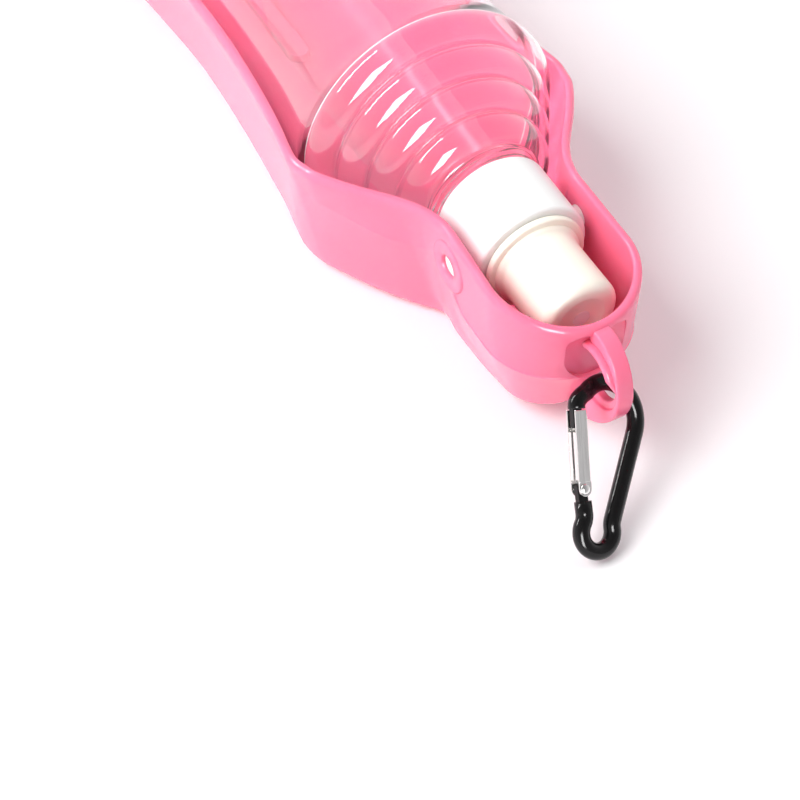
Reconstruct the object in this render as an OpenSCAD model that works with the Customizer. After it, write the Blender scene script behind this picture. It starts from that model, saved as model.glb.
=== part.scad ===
// Travel water bottle for dogs. A clear bottle and its cap lie in a moulded drinking tray.
// The cap's trunnions turn in the tray's side walls: the bottle swings up out of the tray and
// its nozzle points down into the trough. A small snap hook hangs from the tray's loop.
//
// The bottle's axis runs along X at height axis_h, +X towards the hook and +Z up. The origin
// lies on the tray's underside, below the back edge of the cap.

/* [Bottle] */
// Largest radius of the bottle, at its last shoulder ring
ring_r = 34.4; // [31:0.1:38]
// Radius at the hand waist
waist_r = 29.3; // [27:0.1:31]
// Radius of the body near the base
base_r = 32.2; // [30:0.1:34]
// Length from the cap's back edge to the base
bottle_len = 176; // [150:1:200]
// Length of the ringed shoulder
shoulder_len = 33.4; // [30:0.1:38]
// Number of shoulder rings
ring_count = 4; // [3:1:5]
// How far each shoulder ring bulges
ring_bulge = 2.5; // [1.5:0.1:2.8]
// Wall of the blown bottle
bottle_wall = 0.7; // [0.6:0.05:0.9]
// Outer radius of the neck below the thread
neck_r = 12.45; // [11.5:0.05:12.6]
// Inner radius of the neck
neck_bore_r = 10.85; // [9.5:0.05:11.2]
// Height of the thread above the neck
thread_h = 1; // [0.7:0.05:1]
// Pitch of the thread
thread_pitch = 3.2; // [3:0.1:4]

/* [Cap and nozzle] */
// Radius of the cap at its back edge
cap_r = 15; // [15:0.1:17]
// Length of the cap
cap_len = 19.2; // [18:0.1:22]
// Wall of the cap round the thread
cap_wall = 0.95; // [0.9:0.05:1.2]
// Thickness of the cap's front wall
cap_roof = 2.2; // [1.8:0.1:2.8]
// Distance from the cap's back edge to the trunnions' axis
trunnion_x = 12.5; // [11:0.1:14]
// Radius of the trunnions
trunnion_r = 2.9; // [2.5:0.1:3.3]
// Outer radius of the spout inside the nozzle
spout_r = 7.05; // [6.5:0.05:7.5]
// Outer radius of the nozzle
nozzle_r = 10.2; // [9.6:0.1:10.3]
// Radius of the nozzle's finger flange
nozzle_flange_r = 13; // [12:0.1:13.5]
// Length of the nozzle
nozzle_len = 21.8; // [19:0.1:22]
// How far the nozzle pulls out to open
nozzle_travel = 3; // [2:0.1:3]

/* [Tray] */
// Wall of the tray
wall = 1.8; // [1.6:0.1:2.2]
// Width of the thickened rim
rim_w = 2.3; // [2.2:0.1:3]
// Gap between the bottle's last ring and the side walls
side_gap = 1.7; // [1.5:0.1:3]
// Gap between the cap and the pocket's side walls
pocket_gap = 1.6; // [1.6:0.1:2.5]
// Gap between the nozzle's tip and the pocket's end wall
tip_gap = 5.9; // [5.6:0.1:8]
// Gap between the bottle's base and the far wall
far_gap = 14; // [10:0.5:20]
// Gap between the bottle and the tray's floor
floor_gap = 0.4; // [0.3:0.1:1.5]
// Height of the rim above the bottle's axis at the shoulder
rim_shoulder = 6; // [4:0.5:7]
// Height of the rim above the bottle's axis at the neck
rim_neck = 10; // [9:0.5:11]
// Radius of the round bosses outside the trunnions
boss_r = 6.8; // [6:0.1:7.5]
// Width of the floor's stiffening rib
rib_w = 6.5; // [5:0.5:9]
// Length of the floor's stiffening rib
rib_len = 30; // [20:1:40]
// Height of the floor's stiffening rib
rib_h = 2.4; // [1.5:0.1:2.6]
// How far the bottle swings up, in degrees
swing = 95; // [80:1:95]

/* [Loop] */
// Radius of the loop's hole
loop_hole_r = 6.8; // [6.6:0.1:7]
// Width of the loop's outer band
loop_band_w = 4.4; // [4:0.1:4.6]
// Width of the lip round the loop's hole
loop_lip_w = 2.8; // [2.4:0.1:3]
// How far the lip stands in from the loop's outer band
loop_lip_t = 1.6; // [1.4:0.1:1.8]
// Width of the recess behind the loop
niche_w = 16; // [13:0.5:16]

/* [Snap hook] */
// Diameter of the hook's rod
rod_d = 4.1; // [3.6:0.1:4.2]
// Radius of the rod's line round the large end
hook_big_r = 9.1; // [9:0.1:10]
// Radius of the rod's line round the small end
hook_small_r = 4.4; // [4.2:0.1:5]
// Distance between the centres of the two ends
hook_span = 25.4; // [25:0.1:30]
// Slope of the hook's straight sides
hook_slope = 13; // [11:0.5:14]
// Outside width of the gate's channel
gate_w = 3.6; // [3.5:0.05:3.8]
// Sheet of the gate's channel
gate_sheet = 0.5; // [0.4:0.05:0.6]
// Radius of the gate's rivet
rivet_r = 0.8; // [0.7:0.05:0.9]
// Thickness of the tabs inside the channel
tab_t = 1.8; // [1.4:0.1:2]
// Outer radius of the gate's spring
spring_r = 1.1; // [0.9:0.05:1.2]
// Wire of the gate's spring
spring_wire = 0.35; // [0.3:0.05:0.4]

/* [Hidden] */
$fn = 96;

// Clearances
run_gap = 0.05;
face_gap = 0.05;
body_gap = 0.3;

axis_h = ring_r + floor_gap + wall;

// ---------- Curves ----------

function mix(a, b, t) = a + (b - a) * t;
function reversed(list) = [for (i = [len(list) - 1:-1:0]) list[i]];
function arc(c, r, a0, a1, n) =
    [for (i = [0:n]) let (a = mix(a0, a1, i / n)) c + r * [cos(a), sin(a)]];

// Smooth curve through the rows of a table of [place, value], rising in place
function slope_at(table, i) =
    let (a = max(i - 1, 0), b = min(i + 1, len(table) - 1))
    (table[b][1] - table[a][1]) / (table[b][0] - table[a][0]);
function stretch_of(table, x, i = 0) =
    i >= len(table) - 2 || x <= table[i + 1][0] ? i : stretch_of(table, x, i + 1);
function along(table, x) =
    let (
        i = stretch_of(table, x),
        h = table[i + 1][0] - table[i][0],
        t = min(max((x - table[i][0]) / h, 0), 1)
    )
    (2 * t ^ 3 - 3 * t ^ 2 + 1) * table[i][1]
        + (t ^ 3 - 2 * t ^ 2 + t) * slope_at(table, i) * h
        + (3 * t ^ 2 - 2 * t ^ 3) * table[i + 1][1]
        + (t ^ 3 - t ^ 2) * slope_at(table, i + 1) * h;

// Turned solid about the bottle's axis, from [distance along X, radius] points
module turned(points) {
    translate([0, 0, axis_h]) rotate([0, 90, 0]) rotate_extrude()
        polygon([for (p = points) [p[1], p[0]]]);
}

// ---------- Bottle ----------

gasket_t = 1.35;
neck_top_x = cap_len - cap_roof - gasket_t - 2 * face_gap;
flare = [[0.8, neck_r], [-0.8, cap_r - 1.1], [-2.4, cap_r - 0.7]];
shoulder_start = [-4, cap_r + 0.4];
shoulder_end = [-shoulder_len, ring_r - 0.9];
shoulder_step = (shoulder_end - shoulder_start) / ring_count;
step_len = norm(shoulder_step);
shoulder_out = [shoulder_step[1], -shoulder_step[0]] / step_len;
ring_arc_r = (step_len ^ 2 / 4 + ring_bulge ^ 2) / (2 * ring_bulge);
ring_half_angle = asin(step_len / 2 / ring_arc_r);
out_angle = atan2(shoulder_out[1], shoulder_out[0]);
ring_steps = 9;
base_corner_r = 9;
base_round_x = -bottle_len + base_corner_r;
body_table = [
    [base_round_x, base_r],
    [mix(base_round_x, -shoulder_len, 0.17), base_r - 0.4],
    [mix(base_round_x, -shoulder_len, 0.42), waist_r + 0.5],
    [mix(base_round_x, -shoulder_len, 0.62), waist_r],
    [mix(base_round_x, -shoulder_len, 0.80), mix(waist_r, ring_r, 0.22)],
    [mix(base_round_x, -shoulder_len, 0.94), mix(waist_r, ring_r, 0.62)],
    [-shoulder_len, ring_r - 1.2]
];
body_steps = 24;
corner_steps = 7;
foot_r = base_r - base_corner_r;
dome_r = foot_r - 4;
dome_h = 6;
dome_steps = 7;

// One shoulder ring, from its front valley to its back valley
function ring_points(k) =
    let (mid = shoulder_start + shoulder_step * (k + 0.5))
    arc(mid - (ring_arc_r - ring_bulge) * shoulder_out, ring_arc_r,
        out_angle - ring_half_angle, out_angle + ring_half_angle, ring_steps);

// Side of the bottle from the shoulder to the middle of the base, inset from the outside
function bottle_side(inset) = concat(
    [for (k = [0:ring_count - 1]) for (p = ring_points(k)) p - inset * shoulder_out],
    [for (i = [1:body_steps])
        let (x = mix(-shoulder_len - inset, base_round_x, i / body_steps))
        [x, along(body_table, x) - inset]],
    arc([base_round_x, foot_r], base_corner_r - inset, 90 + 90 / corner_steps, 180, corner_steps - 1),
    [for (i = [0:dome_steps])
        let (r = dome_r * (1 - i / dome_steps))
        [-bottle_len + inset + dome_h * (1 - (r / dome_r) ^ 2), r]]
);

// Rounded ridge climbing round the bottle's axis from radius r, inward if h is negative
thread_steps = 24;
thread_turns = 1.5;
thread_x = neck_top_x - 8.4;
function ridge_section(r, h, w) = [[-w / 2, r], [-w / 4, r + h], [w / 4, r + h], [w / 2, r]];
module thread_ridge(x0, r, h, w) {
    n = round(thread_turns * thread_steps);
    points = [for (i = [0:n])
        let (
            a = 360 * i / thread_steps,
            x = x0 + thread_pitch * i / thread_steps,
            grow = min(1, (i + 0.5) / 3, (n - i + 0.5) / 3),
            section = ridge_section(r, h * grow, w * grow)
        )
        for (q = h > 0 ? section : reversed(section))
            [x + q[0], q[1] * cos(a), q[1] * sin(a)]];
    sides = [for (i = [0:n - 1]) for (j = [0:3])
        let (a = i * 4 + j, b = i * 4 + (j + 1) % 4)
        each [[a, b, a + 4], [b, b + 4, a + 4]]];
    ends = [[0, 2, 1], [0, 3, 2], [n * 4, n * 4 + 1, n * 4 + 2], [n * 4, n * 4 + 2, n * 4 + 3]];
    translate([0, 0, axis_h]) polyhedron(points, concat(sides, ends));
}

module bottle() {
    color("aliceblue", 0.35) {
        turned(concat(
            [[neck_top_x, neck_bore_r], [neck_top_x, neck_r]], flare, bottle_side(0),
            reversed(bottle_side(bottle_wall)), [[-1.5, neck_bore_r]]
        ));
        thread_ridge(thread_x, neck_r - 0.2, thread_h + 0.2, 1.5);
    }
}

// ---------- Gasket ----------

cap_bore_r = cap_r - cap_wall;
module gasket() {
    color("ivory") turned([
        [neck_top_x + face_gap, neck_bore_r - 1.6],
        [neck_top_x + face_gap, cap_bore_r - body_gap],
        [neck_top_x + face_gap + gasket_t, cap_bore_r - body_gap],
        [neck_top_x + face_gap + gasket_t, neck_bore_r - 1.6]
    ]);
}

// ---------- Cap ----------

cap_draft = 0.25;
nozzle_back_x = cap_len + 0.35;
nozzle_tip_x = nozzle_back_x + nozzle_len;
nozzle_end_wall = 2;
spout_bore_r = spout_r - 1.5;
spout_end_x = nozzle_tip_x - nozzle_end_wall - 2.6;
post_r = 2.2;
bridge_t = 1.6;
port_r = 1.25;
port_ring_r = 3.9;
pin_root_r = 4;
pin_root_y = cap_r + pocket_gap - 0.7;
pin_tip_y = cap_r + pocket_gap + 1.5;
pin_start_y = cap_r - 0.8;

module cap_shell() {
    turned([
        [0, cap_bore_r], [0, cap_r - 0.3], [0.3, cap_r], [cap_len - 1.1, cap_r - cap_draft],
        [cap_len, cap_r - cap_draft - 1.1], [cap_len, spout_r],
        [spout_end_x - 0.5, spout_r], [spout_end_x, spout_r - 0.5],
        [spout_end_x, post_r], [nozzle_tip_x - 0.3, post_r], [nozzle_tip_x, post_r - 0.3],
        [nozzle_tip_x, 0], [spout_end_x - bridge_t, 0], [spout_end_x - bridge_t, spout_bore_r],
        [cap_len - cap_roof, spout_bore_r], [cap_len - cap_roof, cap_bore_r]
    ]);
}
module screw_cap() {
    color("white") {
        difference() {
            cap_shell();
            for (a = [45:90:315])
                translate([spout_end_x - bridge_t - 1, port_ring_r * cos(a), axis_h + port_ring_r * sin(a)])
                    rotate([0, 90, 0]) cylinder(r = port_r, h = bridge_t + 2);
        }
        for (side = [-1, 1]) translate([trunnion_x, 0, axis_h]) rotate([-90 * side, 0, 0])
            translate([0, 0, pin_start_y]) {
                cylinder(r = pin_root_r, h = pin_root_y - pin_start_y);
                cylinder(r = trunnion_r, h = pin_tip_y - pin_start_y);
            }
        thread_ridge(thread_x - thread_pitch / 2, cap_bore_r + 0.2, -thread_h * 0.9 - 0.2, 1.2);
    }
}

// ---------- Nozzle ----------

module nozzle() {
    color("floralwhite") turned([
        [nozzle_back_x, spout_r + run_gap], [nozzle_back_x, nozzle_flange_r - 0.5],
        [nozzle_back_x + 0.5, nozzle_flange_r], [nozzle_back_x + 1.3, nozzle_flange_r],
        [nozzle_back_x + 1.8, nozzle_flange_r - 0.5], [nozzle_back_x + 1.8, nozzle_r + 1.2],
        [nozzle_back_x + 2.8, nozzle_r + 1], [nozzle_back_x + 3.2, nozzle_r + 0.3],
        [nozzle_back_x + 4, nozzle_r],
        each arc([nozzle_tip_x - 2.4, nozzle_r - 2.4], 2.4, 90, 0, 8),
        [nozzle_tip_x, post_r + run_gap], [nozzle_tip_x - nozzle_end_wall, post_r + run_gap],
        [nozzle_tip_x - nozzle_end_wall, spout_r + run_gap]
    ]);
}

// ---------- Tray ----------

// Half widths of the rim's inner edge
neck_half = cap_r + pocket_gap;
pocket_half = neck_half + 0.4;
pocket_cx = nozzle_tip_x + tip_gap - pocket_half;
shoulder_half = ring_r + side_gap;
waist_half = waist_r + side_gap + 0.1;
far_half = base_r + side_gap + 2;
far_len = 30;
far_cx = -bottle_len - far_gap + far_len;
shoulder_x = 1.4 - shoulder_len;
rim_table = [
    [far_cx, far_half],
    [mix(far_cx, shoulder_x, 0.25), mix(waist_half, far_half, 0.38)],
    [mix(far_cx, shoulder_x, 0.42), waist_half + 0.3],
    [mix(far_cx, shoulder_x, 0.60), waist_half],
    [mix(far_cx, shoulder_x, 0.76), mix(waist_half, shoulder_half, 0.23)],
    [mix(far_cx, shoulder_x, 0.89), mix(waist_half, shoulder_half, 0.58)],
    [mix(far_cx, shoulder_x, 0.965), mix(waist_half, shoulder_half, 0.90)],
    [shoulder_x, shoulder_half],
    [shoulder_x * 0.875, mix(neck_half, shoulder_half, 0.965)],
    [shoulder_x * 0.75, mix(neck_half, shoulder_half, 0.91)],
    [shoulder_x * 0.47, mix(neck_half, shoulder_half, 0.64)],
    [shoulder_x * 0.156, mix(neck_half, shoulder_half, 0.27)],
    [0, mix(neck_half, shoulder_half, 0.123)],
    [4, mix(neck_half, shoulder_half, 0.045)],
    [8, neck_half + 0.05],
    [trunnion_x, neck_half],
    [pocket_cx, pocket_half]
];
// Half widths at which the outer side walls would meet the floor's plane
pocket_foot = 11.2;
floor_table = [
    [far_cx, far_half - 6.2],
    [mix(far_cx, shoulder_x, 0.15), far_half - 8],
    [mix(far_cx, shoulder_x, 0.35), waist_half - 4.9],
    [mix(far_cx, shoulder_x, 0.57), waist_half - 3.9],
    [mix(far_cx, shoulder_x, 0.74), mix(waist_half, shoulder_half, 0.2) - 3.2],
    [mix(far_cx, shoulder_x, 0.83), mix(waist_half, shoulder_half, 0.4) - 3.2],
    [shoulder_x - 8, shoulder_half - 4.1],
    [shoulder_x, shoulder_half - 5.6],
    [shoulder_x * 0.8, shoulder_half - 9],
    [shoulder_x * 0.52, mix(pocket_foot, shoulder_half, 0.42)],
    [shoulder_x * 0.26, mix(pocket_foot, shoulder_half, 0.17)],
    [-2.4, pocket_foot - 0.6],
    [4, pocket_foot - 0.1],
    [trunnion_x, pocket_foot],
    [pocket_cx, pocket_foot]
];
foot_tip = 11.2;
rim_height_table = [
    [far_cx, rim_shoulder - 1],
    [mix(far_cx, shoulder_x, 0.35), rim_shoulder - 1.4],
    [mix(far_cx, shoulder_x, 0.75), rim_shoulder - 0.8],
    [shoulder_x, rim_shoulder],
    [shoulder_x * 0.75, mix(rim_shoulder, rim_neck, 0.28)],
    [shoulder_x * 0.16, mix(rim_shoulder, rim_neck, 0.80)],
    [6, rim_neck],
    [trunnion_x, rim_neck - 0.1],
    [pocket_cx, rim_neck - 1.5]
];
rim_tip_drop = 3;
far_rise = 2;
far_power = 2.6;

// The pocket's wall is nearly upright down to a crease, and slopes in below it
crease_table = [
    [-20, -3], [-6, -5], [2, -3.5], [7, 0], [10, -0.5], [15, -6.5], [18, -10], [23, -10.4],
    [pocket_cx, -10.4]
];
// How far the side walls belly out at that height
belly_table = [[-40, 0], [-20, 0.8], [-8, 2.2], [-2, 1.8], [4, 0.8], [10, 0]];
collar_draft = 2;
// Height of the underside: the pocket's end rises off the floor
lift_table = [[6, 0], [10, 0.2], [20, 1.6], [32, 4.4], [pocket_cx + foot_tip, 7.2]];
fillet_table = [[-45, 7], [-20, 6], [0, 4], [pocket_cx, 3.8]];
fillet_steps = 4;

far_steps = 10;
tip_steps = 10;
side_x = concat(
    [for (i = [0:13]) mix(far_cx, shoulder_x - 8, i / 14)],
    [for (i = [0:19]) mix(shoulder_x - 8, 6, i / 20)],
    [for (i = [0:8]) mix(6, pocket_cx, i / 8)]
);
stations = far_steps + len(side_x) + tip_steps;

// One side of an outline in plan, from the middle of the far end to the middle of the near end
function rail(table, far_l, tip_l) = concat(
    [for (i = [0:far_steps - 1])
        let (t = 90 * i / far_steps)
        [far_cx - far_l * cos(t), along(table, far_cx) * (1 - cos(t) ^ far_power) ^ (1 / far_power)]],
    [for (x = side_x) [x, along(table, x)]],
    [for (i = [1:tip_steps])
        let (t = 90 * i / tip_steps)
        [pocket_cx + tip_l * sin(t), along(table, pocket_cx) * cos(t)]]
);
// The same side moved inward by d
function inward(side, d) = [for (i = [0:stations - 1])
    i == 0 ? side[0] + [d, 0] :
    i == stations - 1 ? side[i] - [d, 0] :
    let (t = side[i + 1] - side[i - 1]) side[i] + d * [t[1], -t[0]] / norm(t)];

function rim_z(x) = axis_h + (
    x > pocket_cx ? along(rim_height_table, pocket_cx) - rim_tip_drop * ((x - pocket_cx) / pocket_half) ^ 2 :
    x < far_cx ? along(rim_height_table, far_cx) + far_rise * ((far_cx - x) / far_len) ^ 2 :
    along(rim_height_table, x)
);
function lift(x) = along(lift_table, x);
function crease(x) = along(crease_table, min(max(x, -20), pocket_cx));
function belly(x) = along(belly_table, min(max(x, -40), 10));
function fillet(x) = x < -45 ? 7 : along(fillet_table, min(x, pocket_cx));
function lifted(p, z) = [p[0], p[1], z];

rim_in = rail(rim_table, far_len, pocket_half);
rim_out = inward(rim_in, -rim_w);
foot_out = rail(floor_table, far_len - 3.5, foot_tip);
foot_in = inward(foot_out, wall);

// Point where the wall changes slope, on the outside of station i
function knee(i) =
    let (
        x = min(rim_in[i][0], pocket_cx),
        top = rim_z(rim_in[i][0]),
        z = axis_h + crease(x),
        fall = (top - z) / (top - lift(foot_out[i][0])),
        run = norm(foot_out[i] - rim_out[i]),
        spread = max(0, along(rim_table, max(x, far_cx)) - pocket_half),
        inset = min(run * fall - belly(x), spread + (top - z) * tan(collar_draft))
    )
    lifted(rim_out[i] + (foot_out[i] - rim_out[i]) * inset / run, z);
// Rounded bottom corner of station i: from the wall, round the foot, to the floor
function corner(foot, from, aim, r, z) =
    let (
        f = lifted(foot, z(foot[0])),
        a = f + (from - f) * r / norm(from - f),
        q = foot + r * aim,
        b = lifted(q, z(q[0]))
    )
    [for (k = [0:fillet_steps]) let (t = k / fillet_steps)
        (1 - t) ^ 2 * a + 2 * t * (1 - t) * f + t ^ 2 * b];

outside_z = function (x) lift(x);
inside_z = function (x) lift(x) + wall;
foot_aim = let (moved = inward(foot_out, 1)) [for (i = [0:stations - 1]) moved[i] - foot_out[i]];

// Section of the wall at station i, from the inner floor over the rim to the outer floor
function section(i) =
    let (
        top = rim_z(rim_in[i][0]),
        out = (rim_out[i] - rim_in[i]) / rim_w,
        k = knee(i),
        k_in = k + lifted(foot_aim[i] * wall, 0),
        w = fillet(rim_in[i][0]),
        outer = corner(foot_out[i], k, foot_aim[i], w, outside_z),
        inner = corner(foot_in[i], k_in, foot_aim[i], w - wall * 0.7, inside_z)
    )
    concat(
        reversed(inner),
        [k_in],
        [for (e = [[0, -1.1], [0.35, -0.3], [rim_w * 0.5, 0], [rim_w - 0.4, -0.55], [rim_w, -1.4]])
            lifted(rim_in[i] + e[0] * out, top + e[1])],
        [k],
        outer
    );
levels = 2 * (fillet_steps + 1) + 7;
around = 2 * (stations - 1);

module tray_shell() {
    half = [for (i = [0:stations - 1]) section(i)];
    // Station s of the whole outline: one side forward, the other side back
    function place(s) = s < stations ? s : around - s;
    function mirror_y(p, s) = s < stations ? p : [p[0], -p[1], p[2]];
    points = [for (s = [0:around - 1]) for (k = [0:levels - 1]) mirror_y(half[place(s)][k], s)];
    function at(s, k) = (s % around) * levels + k;
    walls = [for (s = [0:around - 1]) for (k = [0:levels - 2])
        let (a = at(s, k), b = at(s + 1, k), c = at(s, k + 1), d = at(s + 1, k + 1))
        each [[a, c, b], [b, c, d]]];
    function strip(s, k) = [at(s, k), at(s + 1, k), at(around - s - 1, k), at(around - s, k)];
    function end_strip(k) = [at(0, k), at(1, k), at(around - 1, k)];
    function tip_strip(k) = [at(stations - 2, k), at(stations - 1, k), at(stations, k)];
    floor_top = concat([end_strip(0)], [for (s = [1:stations - 3]) strip(s, 0)], [tip_strip(0)]);
    floor_under = [for (f = concat(
        [end_strip(levels - 1)], [for (s = [1:stations - 3]) strip(s, levels - 1)], [tip_strip(levels - 1)]
    )) reversed(f)];
    polyhedron(points, concat(walls, floor_top, floor_under));
}

// Loop: [angle, radius] about the hole's centre
loop_x = pocket_cx + pocket_half + 4.3;
loop_z = axis_h - 8;
loop_table = [
    [-110, 20.5], [-88, 16], [-64, 12.8], [-31, 10.7], [0, 10], [27, 10.1], [58, 11.2], [83, 12.5], [97, 12.7]
];
loop_steps = 24;
niche_top_z = axis_h + 3.5;
niche_cz = axis_h - 4;
niche_floor_x = pocket_cx + pocket_half + 0.1;
loop_root_z = niche_cz - 7.5;
niche_reach = 4;

module upright_prism(w) {
    rotate([90, 0, 0]) translate([0, 0, -w / 2]) linear_extrude(height = w) children();
}
module loop() {
    end_wall_x = niche_floor_x + 0.6;
    difference() {
        upright_prism(loop_band_w) polygon(concat(
            [for (i = [0:loop_steps])
                let (a = mix(-110, 97, i / loop_steps), r = along(loop_table, a))
                [loop_x + r * cos(a), loop_z + r * sin(a)]],
            [[end_wall_x, niche_top_z + 1], [end_wall_x, loop_root_z],
             [pocket_cx + foot_tip + 1, lift(pocket_cx + foot_tip) + 2.2]]
        ));
        upright_prism(loop_band_w + 4) translate([loop_x, loop_z]) circle(r = loop_hole_r);
        for (side = [-1, 1]) translate([0, side * (loop_lip_w + 10) / 2, 0])
            upright_prism(10) translate([loop_x, loop_z]) circle(r = loop_hole_r + loop_lip_t);
    }
}
module niche_shape(grow, x0, x1) {
    translate([x0, 0, niche_cz]) rotate([0, 90, 0]) cylinder(r = niche_w / 2 + grow, h = x1 - x0);
    translate([x0, -niche_w / 2 - grow, niche_cz])
        cube([x1 - x0, niche_w + 2 * grow, niche_top_z - niche_cz + grow]);
}
// Where the floor's rib ends towards the hook, and how deep raised features root in the wall
rib_front_x = -108;
sink = 0.5;
boss_h = rim_w - 0.2;
bore_depth = 8;

module tray() {
    color("hotpink") {
        difference() {
            union() {
                tray_shell();
                intersection() {
                    niche_shape(0.6, niche_floor_x - wall, niche_floor_x + 0.2);
                    translate([pocket_cx, 0, 0]) cylinder(r = pocket_half + 0.9, h = 2 * axis_h);
                }
                for (side = [-1, 1]) translate([trunnion_x, 0, axis_h]) rotate([-90 * side, 0, 0])
                    translate([0, 0, neck_half + sink]) cylinder(r = boss_r, h = boss_h);
                translate([rib_front_x, 0, wall - sink]) {
                    translate([-rib_len, -rib_w / 2, 0]) cube([rib_len, rib_w, rib_h + sink]);
                    cylinder(r = rib_w / 2, h = rib_h + sink);
                }
            }
            niche_shape(0, niche_floor_x, niche_floor_x + niche_reach);
            for (side = [-1, 1]) translate([trunnion_x, 0, axis_h]) rotate([-90 * side, 0, 0])
                translate([0, 0, neck_half - wall]) cylinder(r = trunnion_r + run_gap, h = bore_depth);
        }
        loop();
    }
}

// ---------- Snap hook ----------

// The hook lies in its own plane: x along its length from the large end, y across it.
// A line frame has x along a straight side, y outward from the hook's middle.
hook_lean = 38.5;
hook_hang = 2.3;
hook_yaw = -32.9;
hook_pitch = 36.7;
hook_roll = -34;
neck_arc_r = 4;
gate_line = hook_big_r - 0.5;
nose_s = -3.9;
nose_tab_end = 0.4;
shoulder_s = 17.2;
rivet_s = 14.3;
tab_y0 = -1.1;
tab_y1 = 1.5;
tab_end_r = 1.3;
gate_start = nose_s + body_gap;
gate_tail_r = 1.7;
gate_open_back = 1.6;
gate_back_y = 1.7;
stop_s = 5;
stop_t = 0.6;
coil_curls = 7;
coil_rings = 8;
coil_sides = 6;
rivet_fit = 0.02;
head_t = 0.5;
head_r = 1.3;
head_gap = 0.1;

module hook_frame() {
    translate([loop_x, 0, loop_z])
        translate([hook_hang * cos(hook_lean), 0, -hook_hang * sin(hook_lean)])
            rotate([0, 0, hook_yaw]) rotate([0, hook_pitch, 0]) rotate([hook_roll, 0, 0])
                translate([hook_big_r, 0, 0]) children();
}
// How far the small end's centre lies along and inside a straight side at distance d
function neck_in(d) = d + neck_arc_r - hook_span * sin(hook_slope);
function neck_back(d) = sqrt((hook_small_r + neck_arc_r) ^ 2 - neck_in(d) ^ 2);
function neck_s(d) = hook_span * cos(hook_slope) - neck_back(d);
function neck_angle(d) = 90 - hook_slope + atan2(neck_back(d), neck_in(d));
// Point s along the straight side at distance d, on the spine's side (1) or the gate's (-1)
function on_side(d, s, side) = [
    s * cos(hook_slope) + d * sin(hook_slope), side * (d * cos(hook_slope) - s * sin(hook_slope))
];
function neck_point(d, t, side) =
    let (a = mix(90 - hook_slope, neck_angle(d), t))
    on_side(d + neck_arc_r, neck_s(d), side) - neck_arc_r * [cos(a), side * sin(a)];
nose_bend = 240;
nose_points =
    let (
        p0 = hook_big_r * [cos(nose_bend), sin(nose_bend)],
        p1 = on_side(gate_line, nose_s - 1.1, -1),
        p2 = on_side(gate_line, nose_s - 0.5, -1)
    )
    [for (k = [1:4]) let (t = k / 4) (1 - t) ^ 2 * p0 + 2 * t * (1 - t) * p1 + t ^ 2 * p2];
small_steps = 24;
big_steps = 20;
rod_path = concat(
    [on_side(gate_line, shoulder_s, -1)],
    [for (k = [0:4]) neck_point(gate_line, k / 4, -1)],
    [for (i = [1:small_steps - 1])
        let (a = mix(-neck_angle(gate_line), neck_angle(hook_big_r), i / small_steps))
        [hook_span, 0] + hook_small_r * [cos(a), sin(a)]],
    [for (k = [4:-1:0]) neck_point(hook_big_r, k / 4, 1)],
    [for (i = [0:big_steps])
        let (a = mix(90 - hook_slope, nose_bend, i / big_steps))
        hook_big_r * [cos(a), sin(a)]],
    nose_points,
    [on_side(gate_line, nose_s, -1)]
);
rod_sides = 18;
module rod() {
    last = len(rod_path) - 1;
    points = [for (i = [0:last])
        let (t = rod_path[min(i + 1, last)] - rod_path[max(i - 1, 0)], n = [t[1], -t[0]] / norm(t))
        for (j = [0:rod_sides - 1])
            let (b = 360 * j / rod_sides, p = rod_path[i] + rod_d / 2 * cos(b) * n)
            [p[0], p[1], rod_d / 2 * sin(b)]];
    walls = [for (i = [0:last - 1]) for (j = [0:rod_sides - 1])
        let (a = i * rod_sides + j, b = i * rod_sides + (j + 1) % rod_sides)
        each [[a, b, a + rod_sides], [b, b + rod_sides, a + rod_sides]]];
    start = [for (j = [rod_sides - 1:-1:0]) j];
    end = [for (j = [0:rod_sides - 1]) last * rod_sides + j];
    polyhedron(points, concat(walls, [start, end]));
}
module gate_frame() {
    hook_frame() rotate([180, 0, 0]) rotate([0, 0, -hook_slope]) translate([0, gate_line, 0]) children();
}
module hook_body() {
    color("#242424") {
        hook_frame() rod();
        gate_frame() {
            translate([nose_s - 1, tab_y0 + 0.2, -tab_t / 2])
                cube([nose_tab_end - nose_s + 1, tab_y1 - tab_y0 - 0.2, tab_t]);
            difference() {
                union() {
                    translate([rivet_s, 0.2 - tab_end_r, -tab_t / 2])
                        cube([shoulder_s - rivet_s + 1, 2 * tab_end_r, tab_t]);
                    translate([rivet_s, 0.2, -tab_t / 2]) cylinder(r = tab_end_r, h = tab_t);
                }
                translate([rivet_s, 0.2, -3]) cylinder(r = rivet_r + rivet_fit, h = 6);
            }
        }
    }
}
module hook_gate() {
    half = gate_w / 2;
    color("silver") gate_frame() {
        difference() {
            union() {
                translate([gate_start, -gate_back_y, -half])
                    cube([rivet_s - gate_start, 2 * gate_back_y, gate_w]);
                translate([rivet_s, 0, -half]) cylinder(r = gate_tail_r, h = gate_w);
            }
            translate([gate_start - 1, gate_sheet - gate_back_y, gate_sheet - half])
                cube([rivet_s - gate_start + 8, 2 * gate_back_y, gate_w - 2 * gate_sheet]);
            translate([rivet_s - gate_open_back, -gate_back_y - 1, gate_sheet - half])
                cube([8, 2 * gate_back_y, gate_w - 2 * gate_sheet]);
            translate([rivet_s, 0.2, -half - 1]) cylinder(r = rivet_r + run_gap, h = gate_w + 2);
        }
        translate([stop_s - stop_t, -gate_back_y, -half]) cube([stop_t, gate_back_y + 0.7, gate_w]);
    }
}
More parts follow.
